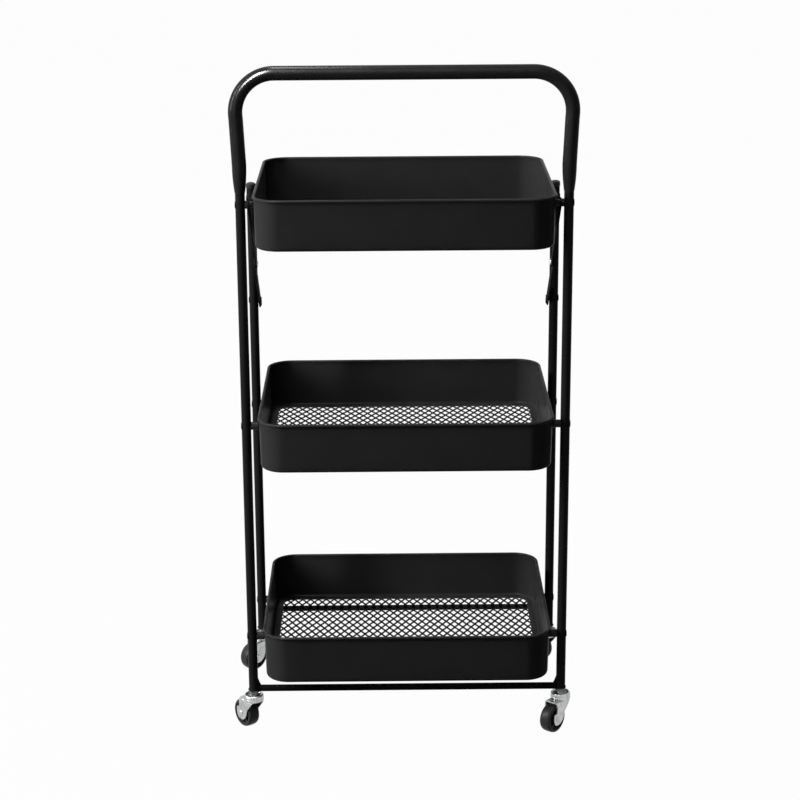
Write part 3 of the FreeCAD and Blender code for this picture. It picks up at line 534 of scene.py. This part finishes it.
def lozenge(bm, knots, centre_x, centre_y):
    half_x, half_y = lozenge_across / 2, lozenge_deep / 2

    def knot(x, y):
        key = (round(x, 3), round(y, 3))
        if key not in knots:
            knots[key] = bm.verts.new((x, y, 0))
        return knots[key]

    outer = [knot(centre_x + half_x * x, centre_y + half_y * y) for x, y in lozenge_tips]
    inner = []
    for index, (x, y) in enumerate(lozenge_tips):
        before, after = lozenge_tips[index - 1], lozenge_tips[(index + 1) % 4]
        hole = ((x + (before[0] - x) * tip_share, y + (before[1] - y) * tip_share),
                (x * tip_blunt, y * tip_blunt),
                (x + (after[0] - x) * tip_share, y + (after[1] - y) * tip_share))
        inner.append([bm.verts.new((centre_x + half_x * hole_share * across,
                                    centre_y + half_y * hole_share * deep, 0)) for across, deep in hole])
    for index in range(4):
        first, blunt, last = inner[index]
        following = inner[(index + 1) % 4]
        bm.faces.new((outer[index], blunt, first))
        bm.faces.new((outer[index], last, blunt))
        bm.faces.new((outer[index], outer[(index + 1) % 4], following[0], last))


def trim(bm, point, outward):
    everything = bm.verts[:] + bm.edges[:] + bm.faces[:]
    bmesh.ops.bisect_plane(bm, geom=everything, plane_co=point, plane_no=outward, clear_outer=True, dist=1e-5)


net_shade_coat = powder_coat("black_net_coat_painted_shade", net_shade_black, 0.45, 0.55, 0.01, 1.4)
for level in levels:
    floor_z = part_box("net_" + level)[0].z
    half, near, far = tray_half - border, tray_front + border, tray_back - border
    middle = (near + far) / 2
    half_deep = (far - near) / 2
    bm = bmesh.new()
    knots = {}
    rows = int((far - near) / lozenge_deep) + 2
    columns = int(half / lozenge_across) + 2
    for row in range(-rows, rows + 1):
        for column in range(-columns, columns + 1):
            x = (column + 0.5 * (row % 2)) * lozenge_across
            y = middle + row * lozenge_deep / 2
            if abs(x) < half + lozenge_across / 2 and abs(y - middle) < half_deep + lozenge_deep / 2:
                lozenge(bm, knots, x, y)
    for side_x, side_y in ((1, -1), (1, 1), (-1, 1), (-1, -1)):
        end_y = far if side_y > 0 else near
        hub = Vector((side_x * (half - opening_corner), end_y - side_y * opening_corner, 0))
        for step in range(round_steps + 1):
            angle = math.pi / 2 * step / round_steps
            outward = Vector((side_x * math.cos(angle), side_y * math.sin(angle), 0))
            trim(bm, hub + outward * opening_corner, outward)
    grown = bmesh.ops.extrude_face_region(bm, geom=bm.faces[:])
    for vert in grown["geom"]:
        if isinstance(vert, bmesh.types.BMVert):
            vert.co.z = net_top
    for vert in bm.verts:
        height = vert.co.z + (net_base if vert.co.z < 0.5 else 0)
        vert.co = Vector((cart_x + vert.co.x * mm, front_y + vert.co.y * mm, floor_z + height * mm))
    add_piece("dressed_net_" + level, bm, net_shade_coat, "tray_" + level, "tray_paint", "net_" + level)

# Tray pins: black rivets through the legs and the tray walls, one at each corner of each tray.
# A turned spacer keeps the tray off the leg. The heads are domed, and the tray turns on the shank.
pin_black = (0.02, 0.02, 0.021)
pin_sides = 32
shank = 3.0
head = 5.0
head_rise = 1.2
head_lip = 0.15
spacer = 5.5
stay_collar = 4.3
slack = 0.5
pin_drop = {"front": 10.8, "rear": tray_rise - 20.9}
leg_in = half_track / mm - leg_radius / mm
leg_out = half_track / mm + leg_radius / mm
stay_sheet = 2.0
stay_slack = 0.4
stay_off_leg = 1.05
outer_stay = leg_in - stay_off_leg - stay_sheet
inner_stay = outer_stay - stay_sheet - stay_slack
pin_coat = powder_coat("black_pin_coat", pin_black, 0.3, 0.42, 0.04)


def dome(start, rise, radius, steps=7):
    angles = [math.pi / 2 * step / steps for step in range(steps + 1)]
    return [(radius * (0.55 + 0.45 * math.cos(angle)), start + rise * math.sin(angle))
            for angle in angles] + [(0, start + rise)]


def inner_dome(start, rise, radius):
    return list(reversed(dome(start, -rise, radius)))


def along_x(sign, spot):
    return Matrix.Translation((cart_x, spot.y, spot.z)) @ Matrix.Rotation(sign * math.pi / 2, 4, "Y")


def rivet(node, profile, sign, spot, finish, body, slot):
    bm = bmesh.new()
    turn_mm(bm, profile, along_x(sign, spot), pin_sides)
    add_piece("dressed_" + node, bm, finish, body, slot, node, sharp=28)


def step_round(radius, start, end, nick=0.3):
    return [(radius - nick, start), (radius, start + nick), (radius, end - nick), (radius - nick, end)]


def through_leg(core, radius, rise):
    lip = leg_out + head_lip
    return [(core, leg_in), (core, leg_out), (radius, leg_out), (radius, lip)] + dome(lip, rise - head_lip, radius)


for row in ("front", "rear"):
    wall_out = tray_half - pin_drop[row] * draft
    wall_in = wall_out - sheet
    for level in levels:
        profile = inner_dome(wall_in - slack, head_rise, head)
        profile += [(head, wall_in - slack), (shank, wall_in - slack), (shank, wall_out + slack)]
        if row == "front" and level == "top":
            stay_near = inner_stay - stay_slack
            stay_far = inner_stay + stay_sheet + stay_slack
            profile += step_round(stay_collar, wall_out + slack, stay_near)
            profile += [(shank, stay_near), (shank, stay_far)] + step_round(spacer, stay_far, leg_in)
        else:
            profile += step_round(spacer, wall_out + slack, leg_in)
        profile += through_leg(shank, head, head_rise / 2)
        for side, sign in (("left", -1), ("right", 1)):
            node = "%s_pin_%s_%s" % (row, level, side)
            rivet(node, profile, sign, middle_of(node), pin_coat, row + "_frame", "pin_paint")

# Folding stays: two flat steel links on each side, punched with round ends and coated black.
# They meet at a bright rivet, the knee, and fold there. The upper link hangs on the top front pin, and
# the lower one on a rivet in the rear leg, with a buffer button in its tail that keeps it off the leg.
upper_half = 7.0
lower_half = 8.5
edge_nick = 0.35
tail_length = 6 * mm
knee_share = 0.6
rivet_shank = 2.5
rivet_head = 4.75
rivet_rise = 1.5
rivet_back_rise = 0.75
knee_gap = 0.05
link_steps = 16
washer_rise = 0.7
buffer_reach = 10.1 * mm
buffer_radius = 5.1
buffer_inside = 1.45
buffer_outside = 0.98
sunk = 0.1
outer_face = outer_stay + stay_sheet
foot_face = outer_stay - stay_slack


def metal(name, shades, cloud, polish, pits):
    finish, shader = new_finish(name)
    links = finish.node_tree.links
    shader.inputs["Metallic"].default_value = 1.0
    links.new(ramp(finish, grain(finish, *cloud), shades), shader.inputs["Base Color"])
    links.new(span(finish, grain(finish, *polish[:2]), *polish[2:]), shader.inputs["Roughness"])
    dimple(finish, shader, grain(finish, *pits[:2]), *pits[2:])
    return finish


def flat_link(bm, sign, start, end, half_width, layer):
    along = (end - start).normalized()
    over = Vector((0, -along.z, along.y))
    outline = []
    for centre, first in ((end, -90), (start, 90)):
        for step in range(link_steps + 1):
            angle = math.radians(first + 180 * step / link_steps)
            outline.append((centre, along * math.cos(angle) + over * math.sin(angle)))
    loops = []
    for inset, depth in ((edge_nick, 0), (0, edge_nick), (0, stay_sheet - edge_nick), (edge_nick, stay_sheet)):
        loop = []
        for centre, outward in outline:
            point = centre + outward * (half_width - inset) * mm
            loop.append(bm.verts.new((cart_x + sign * (layer + depth) * mm, point.y, point.z)))
        loops.append(loop)
    for loop, following in zip(loops, loops[1:]):
        join_rings(bm, loop, following)
    bm.faces.new(loops[0])
    bm.faces.new(loops[-1])


stay_coat = powder_coat("black_stay_coat", frame_black, 0.5, 0.62, 0.003)
rivet_steel = metal("bare_rivet_steel", [(0.3, (0.42, 0.42, 0.43)), (0.7, (0.62, 0.62, 0.63))],
                    (160, 3), (200, 2, 0.25, 0.42), (900, 2, 0.2, 0.0001))
stay_head = middle_of("front_pin_top_left")
stay_foot = middle_of("stay_rivet_left")
stay_run = Vector((0, stay_foot.y - stay_head.y, stay_foot.z - stay_head.z))
stay_way = stay_run.normalized()
knee = stay_head + stay_run * knee_share
washer = [(0, outer_face - sunk)] + step_round(rivet_head, outer_face - sunk, outer_face + washer_rise, 0.2)
washer += [(0, outer_face + washer_rise)]
buffer = inner_dome(outer_stay + sunk, buffer_inside + sunk, buffer_radius)
buffer += dome(outer_face - sunk, buffer_outside + sunk, buffer_radius)
knee_end = inner_stay + stay_sheet - knee_gap
knee_profile = inner_dome(inner_stay, rivet_rise, rivet_head)
knee_profile += [(rivet_shank, inner_stay), (rivet_shank, knee_end), (0, knee_end)]
foot_profile = inner_dome(foot_face, rivet_rise, rivet_head)
foot_profile += [(rivet_shank, foot_face), (rivet_shank, outer_face + stay_slack)]
foot_profile += step_round(rivet_head, outer_face + stay_slack, leg_in, 0.15)
foot_profile += through_leg(rivet_shank, rivet_head, rivet_back_rise)
for side, sign in (("left", -1), ("right", 1)):
    upper, lower = "stay_upper_" + side, "stay_lower_" + side
    bm = bmesh.new()
    flat_link(bm, sign, stay_head, knee, upper_half, inner_stay)
    add_piece("dressed_" + upper, bm, stay_coat, upper, "frame_paint", upper)
    bm = bmesh.new()
    flat_link(bm, sign, stay_foot + stay_way * tail_length, knee, lower_half, outer_stay)
    turn_mm(bm, washer, along_x(sign, knee), pin_sides)
    turn_mm(bm, buffer, along_x(sign, stay_foot + stay_way * buffer_reach), pin_sides)
    add_piece("dressed_" + lower, bm, stay_coat, lower, "frame_paint", lower)
    rivet("knee_rivet_" + side, knee_profile, sign, knee, rivet_steel, upper, "zinc_plate")
    rivet("stay_rivet_" + side, foot_profile, sign, stay_foot, pin_coat, "rear_frame", "pin_paint")

# Casters: a turned stem pressed into each leg, and a zinc plated swivel fork bent from sheet,
# with a rolled ball race on top and a riveted axle. The wheel is one black moulding with
# a crowned tread, a deep web, ribs and a hub.
zinc_bright = (0.5, 0.505, 0.51)
zinc_dull = (0.33, 0.335, 0.34)
tread_black = (0.022, 0.022, 0.023)
wheel_radius = 20.7
wheel_web = 5.1
trail = 19.0
fork_half = 9.5
fork_sheet = 1.8
fork_columns = 9
crown = 45.6
crown_round = 3.2
crown_bend = 6
crown_eye = 3.0
lobe_top = 30.4
lobe_step = 0.6
axle_radius = 3
button_gap = 0.05
button_radius = 4.2
button_rise = 1.39
rib_start = 7.2
rib_end = 15.3
rib_half = 0.9
rib_rise = 1.7
rib_count = 8
# The wide flange near 53 mm is a dark washer filling the swivel cup, partly a real cover and partly painted shade.
stem_profile = [(0, 86), (4.6, 86), (5.35, 85.2), (5.35, 61.2), (5.9, 61.2), (6.0, 60.9), (6.0, 58.4),
                (6.4, 57.8), (6.6, 56.0), (7.2, 55.0), (8.4, 54.1), (9.5, 53.5), (9.8, 53.2), (9.6, 52.8),
                (8.6, 52.2), (7.3, 51.5), (4, 51.2), (4, 43.1), (6, 43.1), (6, 41.5), (5.4, 41.3), (0, 41.3)]
race_profile = [(4.06, 43.7), (13.5, 45.65), (14.0, 46.0), (14.2, 46.8), (14.2, 48.7), (13.9, 49.2),
                (13.8, 49.7), (14.0, 50.2), (14.1, 51.2), (13.9, 52.6), (13.4, 53.8), (12.7, 54.5),
                (12.0, 54.7), (11.3, 54.4), (10.8, 53.7), (10.4, 52.7), (9.6, 51.7), (8.4, 51.0),
                (7.4, 50.75), (4.06, 50.7), (4.06, 43.7)]
wheel_side = [(3.05, 8.0), (5.6, 8.0), (6.6, 7.7), (7.2, 7.0), (7.6, 5.4), (8.4, 5.1), (14.0, 5.1), (14.8, 5.5),
              (15.5, 7.4), (16.1, 8.3), (16.9, 8.5), (18.3, 8.4), (19.3, 7.9), (20.0, 6.9), (20.4, 5.4),
              (20.6, 3.6), (20.7, 1.6)]
tread_seam = [(20.7, 0.25), (20.6, 0.12), (20.6, -0.12), (20.7, -0.25)]
cheek_edges = [(11.8, 17.0, 21.6), (12.3, 14.6, 23.6), (13.4, 12.2, 25.2), (15.2, 9.8, 26.9), (17.6, 7.6, 28.1),
               (20.5, 6.2, 28.6), (23.5, 5.2, 28.7), (26.2, 4.4, 28.7), (28.4, 3.6, 28.4), (29.6, 2.9, 27.4),
               (30.4, 2.3, 25.0), (31.0, 1.8, 22.8), (33.8, -0.7, 22.0), (37.2, -3.4, 21.9), (40.6, -6.2, 21.9),
               (43.1, -7.6, 21.9), (45.6, -7.9, 21.9)]
casters = {"front_left": (-1, front_y, 128), "front_right": (1, front_y, 230),
           "rear_left": (-1, rear_y, 224), "rear_right": (1, rear_y, 130)}
zinc = metal("bright_zinc_plate", [(0.25, zinc_dull), (0.6, zinc_bright)],
             (120, 4), (260, 3, 0.2, 0.42), (420, 3, 0.22, 0.00015))
# The stem and its washer are dull dark steel. Their darkness is partly the steel's own tone and partly painted
# shade inside the swivel cup.
stem_steel_and_shade = metal("dull_stem_steel_and_painted_shade", [(0.3, (0.05, 0.05, 0.051)), (0.7, (0.13, 0.13, 0.133))],
                  (140, 3), (220, 2, 0.34, 0.5), (500, 2, 0.2, 0.0001))
tread_plastic = moulded("black_wheel_plastic", tread_black, 0.3, 0.42, 700, 0.08)


def edges_at(height):
    for (low_z, low_back, low_front), (high_z, high_back, high_front) in zip(cheek_edges, cheek_edges[1:]):
        if height <= high_z:
            share = max(0.0, (height - low_z) / (high_z - low_z))
            return low_back + (high_back - low_back) * share, low_front + (high_front - low_front) * share
    return cheek_edges[-1][1:]


def bent_fork(bm, place):
    skin = fork_half + fork_sheet
    path = [(skin - lobe_step if height < lobe_top else skin, height, 1, 0)
            for height, _, _ in cheek_edges if height < crown - crown_round]
    for step in range(crown_bend + 1):
        angle = math.pi / 2 * step / crown_bend
        path.append((skin - crown_round + crown_round * math.cos(angle),
                     crown - crown_round + crown_round * math.sin(angle), math.cos(angle), math.sin(angle)))
    path += [(crown_eye, crown, 0, 1)]
    path += [(-across, height, -out, up) for across, height, out, up in reversed(path)]
    outside, inside = [], []
    for across, height, out, up in path:
        back, front = edges_at(height)
        outer_row, inner_row = [], []
        for column in range(fork_columns):
            ahead = back + (front - back) * column / (fork_columns - 1)
            outer = Vector((ahead, across, height)) * mm
            inner = Vector((ahead, across - out * fork_sheet, height - up * fork_sheet)) * mm
            outer_row.append(bm.verts.new(place @ outer))
            inner_row.append(bm.verts.new(place @ inner))
        outside.append(outer_row)
        inside.append(inner_row)
    for outer_row, inner_row in zip(outside, inside):
        inner_row.reverse()
    rims = [outer_row + inner_row for outer_row, inner_row in zip(outside, inside)]
    for rim, following in zip(rims, rims[1:]):
        join_rings(bm, rim, following)
    for rim in (rims[0], rims[-1]):
        for column in range(fork_columns - 1):
            bm.faces.new((rim[column], rim[column + 1], rim[-column - 2], rim[-column - 1]))


def rib(bm, place, angle, face):
    spin = Matrix.Rotation(angle, 4, "Z")
    rings = []
    for half, depth in ((rib_half, wheel_web), (rib_half * 0.6, wheel_web + rib_rise)):
        corners = ((rib_start, -half), (rib_start, half), (rib_end, half), (rib_end, -half))
        rings.append([bm.verts.new(place @ spin @ (Vector((radial, across, face * depth)) * mm))
                      for radial, across in corners])
        bm.faces.new(rings[-1])
    join_rings(bm, *rings)


cheek = fork_half + fork_sheet - lobe_step + button_gap
button = dome(cheek, button_rise, button_radius)
axle_profile = [(radius, -along) for radius, along in reversed(button)]
axle_profile += [(button_radius, -cheek), (axle_radius, -cheek), (axle_radius, cheek)] + button
tyre_profile = wheel_side + tread_seam + [(radius, -along) for radius, along in reversed(wheel_side)]
tyre_profile.append(wheel_side[0])
for corner, (sign, leg_y, swivel) in casters.items():
    fork_body = "fork_" + corner
    pivot = Matrix.Translation((cart_x + sign * half_track, leg_y, 0))
    facing = pivot @ Matrix.Rotation(math.radians(swivel), 4, "Z")
    hub = facing @ Matrix.Translation((trail * mm, 0, wheel_radius * mm)) @ Matrix.Rotation(-math.pi / 2, 4, "X")

    bm = bmesh.new()
    turn_mm(bm, stem_profile, pivot, sides=36)
    node = "caster_stem_" + corner
    add_piece("dressed_" + node, bm, stem_steel_and_shade, corner.split("_")[0] + "_frame", "zinc_plate", node)

    bm = bmesh.new()
    bent_fork(bm, facing)
    turn_mm(bm, race_profile, facing, sides=40)
    bmesh.ops.remove_doubles(bm, verts=bm.verts, dist=1e-7)
    node = "caster_fork_" + corner
    add_piece("dressed_" + node, bm, zinc, fork_body, "zinc_plate", node)

    bm = bmesh.new()
    turn_mm(bm, axle_profile, hub, sides=28)
    node = "caster_axle_" + corner
    add_piece("dressed_" + node, bm, zinc, fork_body, "zinc_plate", node)

    bm = bmesh.new()
    turn_mm(bm, tyre_profile, hub, sides=56)
    bmesh.ops.remove_doubles(bm, verts=bm.verts, dist=1e-7)
    for step in range(rib_count):
        for face in (-1, 1):
            rib(bm, hub, 2 * math.pi * step / rib_count, face)
    node = "caster_wheel_" + corner
    add_piece("dressed_" + node, bm, tread_plastic, "wheel_" + corner, "wheel_plastic", node)

# Studio: a white floor that keeps the cart's soft shadow, and a white surround. A tall soft lamp stands to
# the left, a small key in front, a weak lamp to the right and a strip above. One more strip shows only
# in the gloss of the handle and the trays. The camera is at the photograph's place.
white = (1, 1, 1, 1)
surround_light = 0.015
floor_grey = (0.14, 0.14, 0.14, 1)
floor_glow = 0.98
floor_reach = 14.0
lens_pixels = 2090
image_pixels = 800
sensor = 36
scene = bpy.context.scene
scene.view_settings.view_transform = "Standard"


def shown_to(tree, *kinds):
    rays = tree.nodes.new("ShaderNodeLightPath")
    shown = rays.outputs[kinds[0]]
    for kind in kinds[1:]:
        either = tree.nodes.new("ShaderNodeMath")
        either.operation = "MAXIMUM"
        tree.links.new(shown, either.inputs[0])
        tree.links.new(rays.outputs[kind], either.inputs[1])
        shown = either.outputs["Value"]
    return shown


def two_looks(tree, factor, plain, seen, output):
    either = tree.nodes.new("ShaderNodeMixShader")
    tree.links.new(factor, either.inputs["Fac"])
    tree.links.new(plain.outputs[0], either.inputs[1])
    tree.links.new(seen.outputs[0], either.inputs[2])
    out = tree.nodes.new(output)
    tree.links.new(either.outputs["Shader"], out.inputs["Surface"])


world = bpy.data.worlds.new("studio")
scene.world = world
world.use_nodes = True
tree = world.node_tree
tree.nodes.clear()
surrounds = []
for strength in (surround_light, 1.0):
    surround = tree.nodes.new("ShaderNodeBackground")
    surround.inputs["Color"].default_value = white
    surround.inputs["Strength"].default_value = strength
    surrounds.append(surround)
shown = shown_to(tree, "Is Camera Ray", "Is Glossy Ray", "Is Transmission Ray")
two_looks(tree, shown, *surrounds, "ShaderNodeOutputWorld")

floor_white = bpy.data.materials.new("white_floor")
floor_white.use_nodes = True
tree = floor_white.node_tree
tree.nodes.clear()
matt = tree.nodes.new("ShaderNodeBsdfDiffuse")
matt.inputs["Color"].default_value = floor_grey
glow = tree.nodes.new("ShaderNodeEmission")
glow.inputs["Color"].default_value = white
glow.inputs["Strength"].default_value = 1.0
share = tree.nodes.new("ShaderNodeMath")
share.operation = "MULTIPLY"
share.inputs[1].default_value = floor_glow
tree.links.new(shown_to(tree, "Is Camera Ray", "Is Glossy Ray", "Is Transmission Ray"), share.inputs[0])
two_looks(tree, share.outputs["Value"], matt, glow, "ShaderNodeOutputMaterial")
ground = bpy.data.meshes.new("floor")
floor_corners = [(x * floor_reach, y * floor_reach, 0) for x, y in ((-1, -1), (1, -1), (1, 1), (-1, 1))]
ground.from_pydata(floor_corners, [], [(0, 1, 2, 3)])
ground.materials.append(floor_white)
floor = bpy.data.objects.new("floor", ground)
scene.collection.objects.link(floor)


def soft_lamp(name, place, target, width, height, watts):
    lamp = bpy.data.lights.new(name, "AREA")
    lamp.shape = "RECTANGLE"
    lamp.size = width
    lamp.size_y = height
    lamp.energy = watts
    holder = bpy.data.objects.new(name, lamp)
    holder.location = place
    holder.rotation_euler = (Vector(target) - Vector(place)).to_track_quat("-Z", "Y").to_euler()
    scene.collection.objects.link(holder)
    return holder


soft_lamp("left_softbox", (-2.2, -0.65, 1.35), (0, 0, 0.55), 0.35, 1.3, 115)
soft_lamp("front_key", (-1.26, -2.3, 2.88), (0, 0, 0.7), 0.14, 0.14, 12)
soft_lamp("right_lamp", (2.2, -1.4, 2.4), (0, 0, 0.7), 0.12, 0.12, 2.5)
soft_lamp("top_softbox", (-0.3, 0.1, 2.8), (0, 0.1, 0.4), 1.4, 0.25, 70)
glint = soft_lamp("glint_strip", (-1.33, -2.4, 2.51), (-0.19, -0.13, 0.93), 0.9, 2.0, 4200)
glint.visible_diffuse = False
shiny_paint = bpy.data.collections.new("shiny_paint")
for name in ("handle", "tray_top", "tray_middle", "tray_low"):
    shiny_paint.objects.link(bpy.data.objects["dressed_" + name])
glint.light_linking.receiver_collection = shiny_paint

camera_spot = Vector((cart_x - 0.0245, front_y - 2.7416, 1.3101))
tilt_down, swing, roll = 0.2904, -0.0061, 0.0061
plumb = Vector((0, 0, 1))
aside = Vector((math.cos(swing), math.sin(swing), 0))
away = Vector((-math.sin(swing), math.cos(swing), 0))
ahead = away * math.cos(tilt_down) - plumb * math.sin(tilt_down)
upward = away * math.sin(tilt_down) + plumb * math.cos(tilt_down)
right = aside * math.cos(roll) - upward * math.sin(roll)
top = aside * math.sin(roll) + upward * math.cos(roll)
view_camera = bpy.data.cameras.new("camera")
view_camera.sensor_width = sensor
view_camera.lens = lens_pixels / image_pixels * sensor
eye = bpy.data.objects.new("camera", view_camera)
eye.matrix_world = Matrix.Translation(camera_spot) @ Matrix((right, top, -ahead)).transposed().to_4x4()
scene.collection.objects.link(eye)
scene.camera = eye
